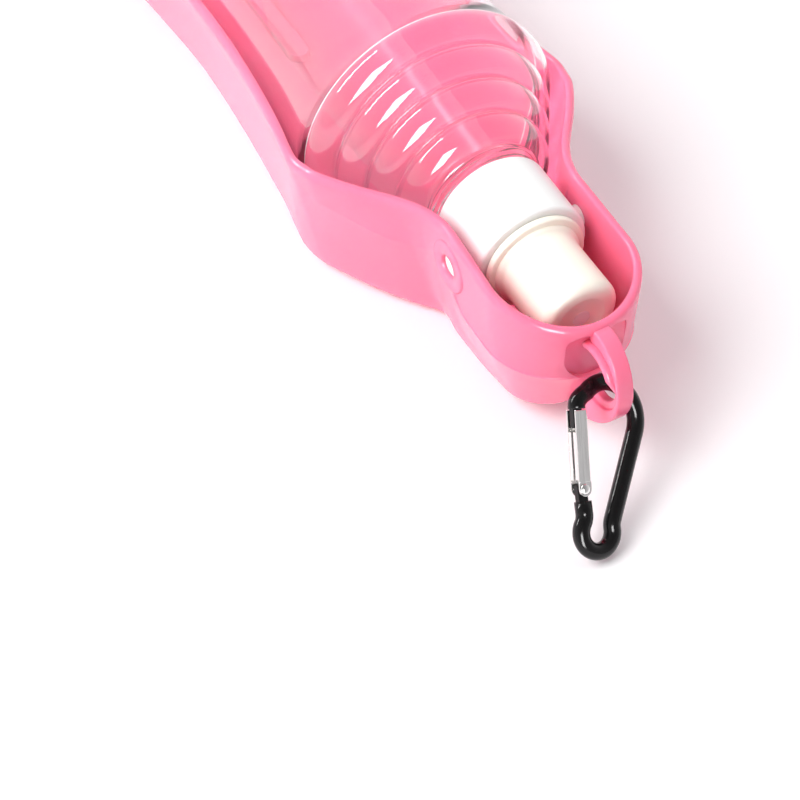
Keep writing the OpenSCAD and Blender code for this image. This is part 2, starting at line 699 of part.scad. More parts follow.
module gate_rivet() {
    color("silver") gate_frame() translate([rivet_s, 0.2, 0]) {
        reach = gate_w / 2 + head_gap;
        translate([0, 0, -reach]) cylinder(r = rivet_r, h = 2 * reach);
        for (turn = [0, 180]) rotate([turn, 0, 0]) translate([0, 0, reach]) cylinder(r = head_r, h = head_t);
    }
}
// Coil spring between the gate's stop and the hinge tab's round end
module gate_spring() {
    coil_r = spring_r - spring_wire / 2;
    s0 = stop_s + 0.1 + spring_wire / 2;
    s1 = rivet_s - tab_end_r - 0.1 - spring_wire / 2;
    n = coil_curls * coil_rings;
    function centre(i) = [mix(s0, s1, i / n), coil_r * cos(360 * i / coil_rings), coil_r * sin(360 * i / coil_rings)];
    points = [for (i = [0:n]) for (j = [0:coil_sides - 1])
        let (
            c = centre(i),
            out = [0, c[1], c[2]] / coil_r,
            b = 360 * j / coil_sides
        )
        c + spring_wire / 2 * (cos(b) * out + [sin(b), 0, 0])];
    sides = [for (i = [0:n - 1]) for (j = [0:coil_sides - 1])
        let (a = i * coil_sides + j, b = i * coil_sides + (j + 1) % coil_sides)
        each [[a, b, a + coil_sides], [b, b + coil_sides, a + coil_sides]]];
    echo(spring_gap = min([for (i = [0:n - coil_rings]) norm(centre(i + coil_rings) - centre(i))]) - spring_wire);
    last = n * coil_sides;
    ends = [for (j = [1:coil_sides - 2]) each [[0, j + 1, j], [last, last + j, last + j + 1]]];
    color("gainsboro") gate_frame() translate([0, 0.2, 0])
        polyhedron(points, concat(sides, ends));
}

tray();
bottle();
gasket();
screw_cap();
nozzle();
hook_body();
hook_gate();
gate_rivet();
gate_spring();
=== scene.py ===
import math

import bmesh
import bpy
from mathutils import Matrix, Vector


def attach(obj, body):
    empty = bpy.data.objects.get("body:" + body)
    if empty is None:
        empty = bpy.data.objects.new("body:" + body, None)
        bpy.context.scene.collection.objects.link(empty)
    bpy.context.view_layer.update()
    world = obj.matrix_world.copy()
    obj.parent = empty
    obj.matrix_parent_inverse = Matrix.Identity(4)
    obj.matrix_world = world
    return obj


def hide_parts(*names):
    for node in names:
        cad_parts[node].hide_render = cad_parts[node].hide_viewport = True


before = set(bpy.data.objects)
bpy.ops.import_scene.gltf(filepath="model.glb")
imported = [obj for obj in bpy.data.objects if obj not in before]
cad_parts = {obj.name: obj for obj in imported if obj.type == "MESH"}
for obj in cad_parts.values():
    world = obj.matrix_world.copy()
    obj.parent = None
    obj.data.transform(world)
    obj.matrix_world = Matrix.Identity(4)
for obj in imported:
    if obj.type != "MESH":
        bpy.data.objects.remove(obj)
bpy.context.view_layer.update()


# ---------------------------------------------------------------------------
# Drinking tray. One trough injection-moulded in glossy pink polypropylene: a
# thin shell with a rolled rim, a rib on its floor and a collar round the cap.
# The bottle's cap hangs in two round bosses of the collar.
# ---------------------------------------------------------------------------

axis_h = 36.6       # height of the bottle's axis over the floor, mm
wall = 1.8
rim_w = 2.3
far_x, far_len, far_rise = -160.0, 30.0, 2.0
far_square, far_tuck = 2.6, 3.5     # squareness of the far end in plan; how far its foot stands back
pocket_x, pocket_half, foot_tip, tip_drop = 30.25, 17.0, 11.2, 3.0
draft, ledge_d, ledge_from = math.radians(2), 0.3, 8.0
trunnion_x, trunnion_bore = 12.5, 2.95

# Half width of the rim's inner edge along the bottle's axis
rim_table = [(-160, 35.9), (-128, 32.9), (-106.2, 31.4), (-83.2, 31.1), (-62.7, 32.25), (-46.1, 34.0),
             (-36.5, 35.6), (-32, 36.1), (-28, 35.4), (-24, 34.35), (-15, 29.1), (-5, 21.9), (0, 19.0),
             (4, 17.5), (8, 16.65), (12.5, 16.6), (30.25, 17.0)]
# Half width of the outside at floor level
foot_table = [(-160, 29.7), (-140.8, 27.9), (-115.2, 26.2), (-87, 27.2), (-65.3, 28.9), (-53.8, 29.9),
              (-40, 32.0), (-32, 30.5), (-25.6, 27.1), (-16.6, 21.7), (-8.3, 15.4), (-2.4, 10.6), (4, 11.1),
              (12.5, 11.2), (30.25, 11.2)]
# Rim and wall crease above the axis, belly of the walls at the crease, rise of the underside, and
# radius of the bottom corner
rim_rise = [(-160, 5.0), (-115.2, 4.6), (-64, 5.2), (-32, 6.0), (-24, 7.1), (-5.1, 9.2), (6, 10.0),
            (12.5, 9.9), (30.25, 8.5)]
crease_table = [(-20, -3), (-6, -5), (2, -3.5), (7, 0), (10, -0.5), (15, -6.5), (18, -10), (23, -10.4),
                (30.25, -10.4)]
belly_table = [(-40, 0), (-20, 0.8), (-8, 2.2), (-2, 1.8), (4, 0.8), (10, 0)]
lift_table = [(6, 0), (10, 0.2), (20, 1.6), (32, 4.4), (41.45, 7.2)]
fillet_table = [(-45, 7), (-20, 6), (0, 4), (30.25, 3.8)]


def mix(a, b, t):
    return a + (b - a) * t


def along(table, x):
    """Value at x of the smooth curve through the rows, level beyond its ends."""
    x = min(max(x, table[0][0]), table[-1][0])
    i = 0
    while i < len(table) - 2 and x > table[i + 1][0]:
        i += 1

    def slope(k):
        a, b = max(k - 1, 0), min(k + 1, len(table) - 1)
        return (table[b][1] - table[a][1]) / (table[b][0] - table[a][0])

    h = table[i + 1][0] - table[i][0]
    t = (x - table[i][0]) / h
    return ((2 * t**3 - 3 * t**2 + 1) * table[i][1] + (t**3 - 2 * t**2 + t) * slope(i) * h
            + (3 * t**2 - 2 * t**3) * table[i + 1][1] + (t**3 - t**2) * slope(i + 1) * h)


side_x = ([mix(far_x, -40, i / 26) for i in range(26)] + [mix(-40, 6, i / 42) for i in range(42)]
          + [mix(6, pocket_x, i / 18) for i in range(19)])


def rail(table, far_l, tip_l):
    """One side of an outline in plan, from the middle of the far end to the middle of the near end."""
    far = [math.radians(90 * i / 16) for i in range(16)]
    tip = [math.radians(90 * i / 18) for i in range(1, 19)]
    wide, narrow = along(table, far_x), along(table, pocket_x)
    return ([Vector((far_x - far_l * math.cos(t),
                     wide * (1 - math.cos(t) ** far_square) ** (1 / far_square), 0)) for t in far]
            + [Vector((x, along(table, x), 0)) for x in side_x]
            + [Vector((pocket_x + tip_l * math.sin(t), narrow * math.cos(t), 0)) for t in tip])


def aims(side):
    """Inward directions in plan along one side."""
    found = []
    for i, p in enumerate(side):
        if i == 0:
            found.append(Vector((1, 0, 0)))
        elif i == len(side) - 1:
            found.append(Vector((-1, 0, 0)))
        else:
            t = side[i + 1] - side[i - 1]
            found.append(Vector((t.y, -t.x, 0)).normalized())
    return found


def rim_z(x):
    if x > pocket_x:
        return axis_h + along(rim_rise, pocket_x) - tip_drop * ((x - pocket_x) / pocket_half) ** 2
    if x < far_x:
        return axis_h + along(rim_rise, far_x) + far_rise * ((far_x - x) / far_len) ** 2
    return axis_h + along(rim_rise, x)


def lift(x):
    return along(lift_table, x)


rim_in = rail(rim_table, far_len, pocket_half)
rim_aim = aims(rim_in)
rim_out = [p - rim_w * a for p, a in zip(rim_in, rim_aim)]
foot_out = rail(foot_table, far_len - far_tuck, foot_tip)
foot_aim = aims(foot_out)
foot_in = [p + wall * a for p, a in zip(foot_out, foot_aim)]


def corner(foot, start, aim, r, raised):
    """Rounded bottom corner, from the wall round the foot to the floor."""
    f = Vector((foot.x, foot.y, lift(foot.x) + raised))
    a = f + (start - f).normalized() * r
    q = foot + r * aim
    b = Vector((q.x, q.y, lift(q.x) + raised))
    return [(1 - t) ** 2 * a + 2 * t * (1 - t) * f + t * t * b for t in (0, 0.2, 0.4, 0.6, 0.8, 1)]


def tray_section(i):
    """Points of the wall at station i: middle of the floor, up the inside, over the rim, back underneath."""
    x, foot = rim_in[i].x, foot_out[i]
    top = rim_z(x)
    near_x = min(x, pocket_x)
    crease_z = axis_h + along(crease_table, near_x)
    fall = (top - crease_z) / (top - lift(foot.x))
    run = (foot - rim_out[i]).length
    spread = max(0, along(rim_table, near_x) - pocket_half)
    inset = min(run * fall - along(belly_table, near_x), spread + (top - crease_z) * math.tan(draft))
    knee = rim_out[i] + (foot - rim_out[i]) * inset / run
    knee = Vector((knee.x, knee.y, crease_z))
    knee_in = knee + foot_aim[i] * wall
    r = along(fillet_table, near_x)
    outer = corner(foot, knee, foot_aim[i], r, 0)
    inner = corner(foot_in[i], knee_in, foot_aim[i], r - wall * 0.7, wall)

    def rim_at(out, drop):
        p = rim_in[i] - rim_aim[i] * out
        return Vector((p.x, p.y, top - drop))

    def floor_at(p, share):
        return Vector((p.x, p.y * share, p.z))

    rim = [rim_at(0, 2.2), rim_at(0, 1.1), rim_at(0.08, 0.45), rim_at(0.4, 0.08), rim_at(1.05, 0),
           rim_at(1.6, 0.2), rim_at(2.05, 0.65), rim_at(rim_w - 0.02, 1.3), rim_at(rim_w, 2.4)]
    up = [knee_in.lerp(rim[0], t) for t in (0.35, 0.7)]
    down = [rim[-1].lerp(knee, t) for t in (0.33, 0.66)]
    ledge = foot_aim[i] * -ledge_d * min(1, max(0, (x - ledge_from) / 6))
    near = [knee.lerp(rim[-1], min(0.3, 0.4 / (knee - rim[-1]).length)), knee,
            knee + ledge + Vector((0, 0, -0.15)),
            knee.lerp(outer[0], min(0.3, 0.6 / (knee - outer[0]).length)) + ledge * 0.95]
    return ([floor_at(inner[-1], s) for s in (0, 0.3, 0.6, 0.85)] + inner[::-1]
            + [inner[0].lerp(knee_in, t) for t in (0.33, 0.66)] + [knee_in] + up + rim + down + near
            + [knee.lerp(outer[0], t) for t in (0.4, 0.7)] + outer
            + [floor_at(outer[-1], s) for s in (0.85, 0.6, 0.3, 0)])


def loft(shape, rings, caps=False):
    """Draws one skin through rings of points in mm: each ring is extruded from the last."""
    place = shape.verts.layers.int.get("place") or shape.verts.layers.int.new("place")
    first = bmesh.ops.create_circle(shape, segments=len(rings[0]), radius=1)["verts"]
    for i, (v, p) in enumerate(zip(first, rings[0])):
        v[place] = i
        v.co = Vector(p) * 0.001
    edges = list({e for v in first for e in v.link_edges})
    if caps:
        bmesh.ops.contextual_create(shape, geom=edges)
    for ring in rings[1:]:
        made = bmesh.ops.extrude_edge_only(shape, edges=edges)["geom"]
        for v in (g for g in made if isinstance(g, bmesh.types.BMVert)):
            v.co = Vector(ring[v[place]]) * 0.001
        edges = [g for g in made if isinstance(g, bmesh.types.BMEdge)]
    if caps:
        bmesh.ops.contextual_create(shape, geom=edges)


def turn(shape, outline, centre, axis, out, closed=False, steps=144):
    """Spins an outline of [distance along the axis, radius] once round the axis."""
    verts = [shape.verts.new((centre + far * axis + r * out) * 0.001) for far, r in outline]
    edges = [shape.edges.new((a, b)) for a, b in zip(verts, verts[1:])]
    if closed:
        edges.append(shape.edges.new((verts[-1], verts[0])))
    bmesh.ops.spin(shape, geom=verts + edges, cent=centre * 0.001, axis=axis, angle=2 * math.pi,
                   steps=steps, use_merge=True)


def finish_piece(shape, name, material, body, replaces=(), smooth=True, crisp=None):
    """Makes the closed shape a piece that rides on its body; edges over crisp degrees stay sharp."""
    bmesh.ops.remove_doubles(shape, verts=shape.verts, dist=1e-6)
    bmesh.ops.recalc_face_normals(shape, faces=shape.faces)
    mesh = bpy.data.meshes.new(name)
    shape.to_mesh(mesh)
    shape.free()
    if smooth:
        mesh.shade_smooth()
    if crisp:
        mesh.set_sharp_from_angle(angle=math.radians(crisp))
    piece = bpy.data.objects.new(name, mesh)
    bpy.context.scene.collection.objects.link(piece)
    mesh.materials.append(material)
    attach(piece, body)
    if replaces:
        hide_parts(*replaces)
    return piece


def refine(piece, levels):
    """Rounds the piece by subdivision."""
    soft = piece.modifiers.new("smooth", "SUBSURF")
    soft.levels = soft.render_levels = levels


def settle(piece):
    """Applies the piece's modifiers to its mesh."""
    bpy.context.view_layer.update()
    made = bpy.data.meshes.new_from_object(piece.evaluated_get(bpy.context.evaluated_depsgraph_get()))
    piece.modifiers.clear()
    old, name = piece.data, piece.data.name
    piece.data = made
    bpy.data.meshes.remove(old)
    made.name = name


def cut(piece, shape):
    """Cuts the closed shape out of the piece."""
    bmesh.ops.recalc_face_normals(shape, faces=shape.faces)
    mesh = bpy.data.meshes.new("cutter")
    shape.to_mesh(mesh)
    shape.free()
    tool = bpy.data.objects.new("cutter", mesh)
    bpy.context.scene.collection.objects.link(tool)
    step = piece.modifiers.new("cut", "BOOLEAN")
    step.operation, step.object, step.solver = "DIFFERENCE", tool, "EXACT"
    settle(piece)
    bpy.data.objects.remove(tool)
    bpy.data.meshes.remove(mesh)


def break_edges(piece, width, angle):
    """Rounds every edge sharper than the angle, as a mould or a tumbler leaves it; width in mm."""
    edge = piece.modifiers.new("edges", "BEVEL")
    edge.width, edge.segments, edge.limit_method = width * 0.001, 2, "ANGLE"
    edge.angle_limit, edge.use_clamp_overlap = math.radians(angle), True


def crossbar(shape, x, z, y0, y1, radius, segments=48):
    """A closed cylinder along Y."""
    ring = [(x + radius * math.cos(a), z + radius * math.sin(a))
            for a in (2 * math.pi * k / segments for k in range(segments))]
    loft(shape, [[(px, y0, pz) for px, pz in ring], [(px, y1, pz) for px, pz in ring]], caps=True)


def linear(code):
    """A colour written as an sRGB hex value, as linear light."""
    parts = [int(code[i:i + 2], 16) / 255 for i in (0, 2, 4)]
    return (*[c / 12.92 if c <= 0.04045 else ((c + 0.055) / 1.055) ** 2.4 for c in parts], 1.0)


def new_material(name):
    material = bpy.data.materials.new(name)
    material.use_nodes = True
    material.node_tree.nodes.clear()
    return material


def put(material, kind, inputs=None, **settings):
    """Adds a node of that kind with its settings; an input is given a value, or a link from another node."""
    made = material.node_tree.nodes.new("ShaderNode" + kind)
    for name, value in settings.items():
        setattr(made, name, value)
    for name, value in (inputs or {}).items():
        if isinstance(value, bpy.types.NodeSocket):
            material.node_tree.links.new(value, made.inputs[name])
        else:
            made.inputs[name].default_value = value
    return made


# Injection-moulded polypropylene, pigmented pink: glossy from a polished mould, with a faint
# cloudiness of the pigment about 25 mm across and a fine unevenness of about 0.6 mm that
# softens its highlights.
pink_plastic = new_material("moulded_pink_polypropylene")
where = put(pink_plastic, "TexCoord").outputs["Object"]
cloud = put(pink_plastic, "TexNoise", {"Vector": where, "Scale": 40.0, "Detail": 2.0, "Roughness": 0.5})
tint = put(pink_plastic, "Mix", {"Factor": cloud.outputs["Fac"], "A": linear("FF7E9E"), "B": linear("FD7798")},
           data_type="RGBA")
grain = put(pink_plastic, "TexNoise", {"Vector": where, "Scale": 1600.0, "Detail": 2.0, "Roughness": 0.6})
gloss = put(pink_plastic, "MapRange", {"Value": grain.outputs["Fac"], "To Min": 0.16, "To Max": 0.24})
relief = put(pink_plastic, "Bump", {"Height": grain.outputs["Fac"], "Strength": 0.06, "Distance": 0.0002})
skin = put(pink_plastic, "BsdfPrincipled", {
    "Base Color": tint.outputs["Result"], "Roughness": gloss.outputs["Result"], "IOR": 1.49,
    "Specular IOR Level": 0.4, "Subsurface Weight": 0.3, "Subsurface Radius": (1.0, 0.15, 0.22),
    "Subsurface Scale": 0.005, "Normal": relief.outputs["Normal"]})
put(pink_plastic, "OutputMaterial", {"Surface": skin.outputs["BSDF"]})

half_walls = [tray_section(i) for i in range(len(rim_in))]
tray_shape = bmesh.new()
tray_rings = []
for level in range(len(half_walls[0])):
    side = [half[level] for half in half_walls]
    tray_rings.append(side + [Vector((p.x, -p.y, p.z)) for p in side[-2:0:-1]])
loft(tray_shape, tray_rings)
tray = finish_piece(tray_shape, "tray_shell", pink_plastic, "tray", ["tray"])
refine(tray, 1)
settle(tray)

# Recess behind the loop, round below and open at its top, and the two trunnion bores
niche_x, niche_half, niche_z, niche_top = 47.35, 8.0, axis_h - 4, axis_h + 3.5
recess = [(niche_half * math.cos(a), niche_z + niche_half * math.sin(a))
          for a in (math.radians(180 + 180 * k / 24) for k in range(25))]
recess += [(niche_half, niche_top - 3), (niche_half - 0.6, niche_top - 1.2), (niche_half - 3, niche_top),
           (3 - niche_half, niche_top), (0.6 - niche_half, niche_top - 1.2), (-niche_half, niche_top - 3)]
tool = bmesh.new()
loft(tool, [[(niche_x, y, z) for y, z in recess], [(niche_x + 4, y, z) for y, z in recess]], caps=True)
cut(tray, tool)
for side in (-1, 1):
    tool = bmesh.new()
    crossbar(tool, trunnion_x, axis_h, side * 14, side * 22, trunnion_bore)
    cut(tray, tool)
break_edges(tray, 0.3, 50)

# The bosses: flat round pads with a softened edge, 0.3 mm proud of the collar
trunnion_axis = (Vector((trunnion_x, 0, axis_h)), Vector((0, 1, 0)), Vector((1, 0, 0)))
pad_r, pad_in, pad_out = 6.8, 16.9, 19.2
pad = [(pad_in, trunnion_bore), (pad_out - 0.25, trunnion_bore), (pad_out, trunnion_bore + 0.3),
       (pad_out, pad_r - 0.5), (pad_out - 0.1, pad_r - 0.18), (pad_out - 0.4, pad_r), (pad_in, pad_r)]
for side, name in ((-1, "trunnion_boss_right"), (1, "trunnion_boss_left")):
    shape = bmesh.new()
    turn(shape, [(side * y, r) for y, r in pad], *trunnion_axis, closed=True, steps=72)
    finish_piece(shape, name, pink_plastic, "tray")

# Floor rib: a low bar with a round front end
rib_x, rib_w, rib_len, rib_top = -108.0, 6.5, 30.0, wall + 2.4
ends = [(rib_x + rib_w / 2 * math.cos(a), rib_w / 2 * math.sin(a))
        for a in (math.radians(-90 + 180 * k / 16) for k in range(17))]
ends += [(rib_x - rib_len, rib_w / 2), (rib_x - rib_len, -rib_w / 2)]
rib_rings = []
for shrink, z in ((-0.15, wall - 0.4), (-0.1, wall + 0.05), (0, wall + 0.2), (0.06, rib_top - 0.25),
                  (0.12, rib_top - 0.08), (0.3, rib_top), (1.5, rib_top)):
    rib_rings.append([(x - shrink * max(0, x - rib_x) / (rib_w / 2), y * (1 - 2 * shrink / rib_w), z)
                      for x, y in ends])
shape = bmesh.new()
loft(shape, rib_rings, caps=True)
finish_piece(shape, "floor_rib", pink_plastic, "tray")

# Loop for the snap hook: an outer band with a narrower lip round its hole
loop_x, loop_z, hole_r, lip_r = 51.55, axis_h - 8, 6.8, 8.7
loop_from, loop_to = -125, 112      # degrees round the hole
band_table = [(loop_from, 12), (-116, 21), (-110, 20.5), (-88, 16), (-64, 12.8), (-31, 10.7), (0, 10),
              (27, 10.1), (58, 11.2), (83, 12.5), (97, 12.7), (loop_to, 13.0)]
shape = bmesh.new()
rings = []
for k in range(61):
    a = mix(loop_from, loop_to, k / 60)
    out = along(band_table, a)
    half = [(hole_r + 0.05, 0.5), (hole_r + 0.1, 0.8), (hole_r + 0.35, 1.1), (lip_r - 0.25, 1.1), (lip_r, 1.2),
            (lip_r + 0.02, 1.9), (lip_r + 0.2, 2.2), (mix(lip_r, out, 0.6), 2.2), (out - 0.3, 2.19),
            (out - 0.05, 1.95), (out, 1.2)]
    ring = half + [(r, -y) for r, y in half[::-1]]
    ca, sa = math.cos(math.radians(a)), math.sin(math.radians(a))
    rings.append([(loop_x + r * ca, y, loop_z + r * sa) for r, y in ring])
loft(shape, rings, caps=True)
refine(finish_piece(shape, "carry_loop", pink_plastic, "tray"), 1)

# A bead thickens the hole's upper edge on the side the hook hangs to
shape = bmesh.new()
rings = []
bead_from, bead_to, bead_flat, bead_proud = 12, 122, -1.9, -3.5
for k in range(37):
    a = mix(bead_from, bead_to, k / 36)
    side_y = mix(bead_flat, bead_proud, min(1, k / 8))
    ca, sa = math.cos(math.radians(a)), math.sin(math.radians(a))
    rings.append([(loop_x + r * ca, y, loop_z + r * sa) for r, y in (
        (7.2, -1.0), (7.15, side_y + 0.5), (7.4, side_y + 0.1), (7.8, side_y), (8.4, side_y),
        (8.8, side_y + 0.1), (9.05, side_y + 0.5), (9.1, -1.0))])
loft(shape, rings, caps=True)
refine(finish_piece(shape, "loop_bead", pink_plastic, "tray"), 1)


# ---------------------------------------------------------------------------
# Bottle. Blown in clear plastic in one piece: four rounded rings on its
# shoulder, a waist for the hand, a domed base and a threaded neck.
# ---------------------------------------------------------------------------

ring_r, base_r, bottle_len, bottle_wall = 34.37, 32.2, 176.0, 0.7
neck_r, neck_bore, neck_top, pitch = 12.45, 10.85, 15.55, 3.2
shoulder_x, base_x, base_round, push_up = -33.4, -167.0, 9.0, 6.0
bottle_axis = (Vector((0, 0, axis_h)), Vector((1, 0, 0)), Vector((0, 0, 1)))
shoulder_from, shoulder_to = Vector((-4, 15.4)), Vector((shoulder_x, ring_r - 0.9))
ring_step = (shoulder_to - shoulder_from) / 4
ring_out = Vector((ring_step.y, -ring_step.x)).normalized()
bulge = 2.5
bulge_r = (ring_step.length ** 2 / 4 + bulge**2) / (2 * bulge)
body_table = [(base_x, base_r), (-144.3, 31.8), (-110.9, 29.8), (-84.2, 29.3), (-60.1, 30.42),
              (-41.4, 32.46), (shoulder_x, 33.2)]


def bottle_side(inset):
    """Outline from the first ring to the middle of the base, inset from the outside."""
    points = []
    spread = math.asin(ring_step.length / 2 / bulge_r)
    aim = math.atan2(ring_out.y, ring_out.x)
    for k in range(4):
        middle = shoulder_from + ring_step * (k + 0.5)
        hub = middle - (bulge_r - bulge) * ring_out
        for i in range(19):
            a = mix(aim - spread, aim + spread, i / 18)
            points.append(hub + bulge_r * Vector((math.cos(a), math.sin(a))) - inset * ring_out)
    for i in range(1, 49):
        x = mix(shoulder_x - inset, base_x, i / 48)
        points.append(Vector((x, along(body_table, x) - inset)))
    for i in range(1, 13):
        a = math.radians(mix(90, 180, i / 12))
        points.append(Vector((base_x, base_r - base_round))
                      + (base_round - inset) * Vector((math.cos(a), math.sin(a))))
    dome_r = base_r - base_round - 4
    for i in range(12):
        r = dome_r * (1 - i / 12)
        points.append(Vector((-bottle_len + inset + push_up * (1 - (r / dome_r) ** 2), r)))
    points.append(Vector((-bottle_len + inset + push_up, 0)))
    return points


def thread(shape, x0, radius, height, width):
    """A ridge of one and a half turns that climbs round the neck and fades at both ends."""
    rings = []
    for i in range(73):
        a = 2 * math.pi * i / 48
        fade = min(1, (i + 0.5) / 6, (72 - i + 0.5) / 6)
        rings.append([(x0 + pitch * i / 48 + dx * fade, (radius + dr * fade) * math.cos(a),
                       axis_h + (radius + dr * fade) * math.sin(a))
                      for dx, dr in ((-width / 2, 0), (-width / 4, height), (width / 4, height), (width / 2, 0))])
    loft(shape, rings, caps=True)


# Clear blown polyester: sharp reflections, hardly any colour, and a slow waviness of the wall
# about 12 mm across that blowing leaves. Lamps pass through it a little dimmed.
clear_plastic = new_material("blown_clear_polyester")
where = put(clear_plastic, "TexCoord").outputs["Object"]
wave = put(clear_plastic, "TexNoise", {"Vector": where, "Scale": 85.0, "Detail": 1.0, "Roughness": 0.4})
relief = put(clear_plastic, "Bump", {"Height": wave.outputs["Fac"], "Strength": 0.05, "Distance": 0.0006})
haze = put(clear_plastic, "MapRange", {"Value": wave.outputs["Fac"], "To Min": 0.0, "To Max": 0.012})
glass = put(clear_plastic, "BsdfPrincipled", {
    "Base Color": linear("FEFDFE"), "Roughness": haze.outputs["Result"], "IOR": 1.57, "Transmission Weight": 1.0,
    "Normal": relief.outputs["Normal"]})
passed = put(clear_plastic, "BsdfTransparent", {"Color": linear("F7F3F5")})
ray = put(clear_plastic, "LightPath")
wall_or_light = put(clear_plastic, "MixShader", {"Fac": ray.outputs["Is Shadow Ray"],
                                                 1: glass.outputs["BSDF"], 2: passed.outputs["BSDF"]})
put(clear_plastic, "OutputMaterial", {"Surface": wall_or_light.outputs["Shader"]})

shape = bmesh.new()
outside = [(neck_top, neck_bore), (neck_top, neck_r - 0.3), (neck_top - 0.3, neck_r), (0.8, neck_r),
           (-0.4, 13.5), (-1.2, 14.1), (-2.6, 14.5), (-3.5, 14.9)]
inside = [(neck_top, neck_bore), (-0.8, neck_bore), (-1.5, neck_bore + 0.2), (-2.2, 12.6), (-3.2, 14.0)]
thread_x = neck_top - 8.4
turn(shape, outside + bottle_side(0), *bottle_axis)
turn(shape, inside + bottle_side(bottle_wall), *bottle_axis)
thread(shape, thread_x, neck_r - 0.15, 1.15, 1.5)
finish_piece(shape, "bottle_blown", clear_plastic, "bottle", ["bottle"])

# The edge where the rings meet the body, drawn with a painted highlight: a frosted white colour
# stands in for the light the crease reflects as a thin bright line, and lets some through.
painted_highlight_edge = new_material("painted_highlight_polyester")
where = put(painted_highlight_edge, "TexCoord").outputs["Object"]
highlight_patches = put(painted_highlight_edge, "TexNoise", {"Vector": where, "Scale": 500.0, "Detail": 2.0})
cover = put(painted_highlight_edge, "MapRange", {"Value": highlight_patches.outputs["Fac"], "To Min": 0.35, "To Max": 0.85})
# Painted highlight: this frosted white stands in for light reflected off the crease.
painted_white = put(painted_highlight_edge, "BsdfPrincipled", {"Base Color": linear("FFF6FA"), "Roughness": 0.35, "IOR": 1.57})
clear = put(painted_highlight_edge, "BsdfTransparent", {"Color": (1.0, 1.0, 1.0, 1.0)})
highlight_or_clear = put(painted_highlight_edge, "MixShader", {"Fac": cover.outputs["Result"],
                                     1: clear.outputs["BSDF"], 2: painted_white.outputs["BSDF"]})
put(painted_highlight_edge, "OutputMaterial", {"Surface": highlight_or_clear.outputs["Shader"]})

shape = bmesh.new()
edge_x, edge_r = -33.5, 33.2
turn(shape, [(edge_x + dx, edge_r + dr) for dx, dr in (
    (0.25, 0.1), (0.2, 0.22), (0, 0.26), (-0.2, 0.22), (-0.25, 0.08), (0, 0.04))], *bottle_axis, closed=True)
finish_piece(shape, "shoulder_edge", painted_highlight_edge, "bottle")


# ---------------------------------------------------------------------------
# Sealing washer. A flat silicone ring stamped from sheet, pressed between the
# bottle's lip and the front wall of the cap.
# ---------------------------------------------------------------------------

# Milky silicone rubber, matt, with a fine grain of about 0.5 mm.
silicone = new_material("stamped_silicone_rubber")
where = put(silicone, "TexCoord").outputs["Object"]
grain = put(silicone, "TexNoise", {"Vector": where, "Scale": 2000.0, "Detail": 2.0})
matt = put(silicone, "MapRange", {"Value": grain.outputs["Fac"], "To Min": 0.5, "To Max": 0.65})
relief = put(silicone, "Bump", {"Height": grain.outputs["Fac"], "Strength": 0.15, "Distance": 0.0002})
rubber = put(silicone, "BsdfPrincipled", {
    "Base Color": linear("EDEBE4"), "Roughness": matt.outputs["Result"], "IOR": 1.41,
    "Normal": relief.outputs["Normal"]})
put(silicone, "OutputMaterial", {"Surface": rubber.outputs["BSDF"]})

shape = bmesh.new()
washer_back, washer_front, washer_in, washer_out, washer_soft = 15.6, 16.95, 9.25, 13.75, 0.2
turn(shape, [(washer_back, washer_in + washer_soft), (washer_back, washer_out - washer_soft),
             (washer_back + washer_soft, washer_out), (washer_front - washer_soft, washer_out),
             (washer_front, washer_out - washer_soft), (washer_front, washer_in + washer_soft),
             (washer_front - washer_soft, washer_in), (washer_back + washer_soft, washer_in)],
     *bottle_axis, closed=True, steps=96)
finish_piece(shape, "sealing_washer", silicone, "seal", ["gasket"])


# ---------------------------------------------------------------------------
# Screw cap. Moulded in white polypropylene with its two trunnions and the
# spout that the nozzle slides on.
# ---------------------------------------------------------------------------

# White polypropylene from a satin mould: bright, a little soft in its highlights, with the
# mould's spark texture of about 0.4 mm.
white_plastic = new_material("satin_white_polypropylene")
where = put(white_plastic, "TexCoord").outputs["Object"]
grain = put(white_plastic, "TexNoise", {"Vector": where, "Scale": 2400.0, "Detail": 2.0, "Roughness": 0.6})
cloud = put(white_plastic, "TexNoise", {"Vector": where, "Scale": 60.0, "Detail": 1.0})
tint = put(white_plastic, "Mix", {"Factor": cloud.outputs["Fac"], "A": linear("FAFAF9"), "B": linear("F4F4F2")},
           data_type="RGBA")
satin = put(white_plastic, "MapRange", {"Value": grain.outputs["Fac"], "To Min": 0.34, "To Max": 0.46})
relief = put(white_plastic, "Bump", {"Height": grain.outputs["Fac"], "Strength": 0.08, "Distance": 0.0002})
skin = put(white_plastic, "BsdfPrincipled", {
    "Base Color": tint.outputs["Result"], "Roughness": satin.outputs["Result"], "IOR": 1.49,
    "Subsurface Weight": 0.1, "Subsurface Radius": (1.0, 0.9, 0.85), "Subsurface Scale": 0.002,
    "Normal": relief.outputs["Normal"]})
put(white_plastic, "OutputMaterial", {"Surface": skin.outputs["BSDF"]})

cap_r, cap_len, spout_r, spout_end, nozzle_tip = 15.0, 19.2, 7.05, 36.75, 41.35


def rounded(points, r, at, steps=3):
    """The outline with the corners listed in at rounded by about r."""
    made = []
    for i, p in enumerate(points):
        p = Vector(p)
        if i in at:
            before, after = Vector(points[i - 1]), Vector(points[(i + 1) % len(points)])
            a = p + (before - p).normalized() * min(r, (before - p).length * 0.45)
            b = p + (after - p).normalized() * min(r, (after - p).length * 0.45)
            made += [(1 - t) ** 2 * a + 2 * t * (1 - t) * p + t * t * b
                     for t in (k / steps for k in range(steps + 1))]
        else:
            made.append(p)
    return made


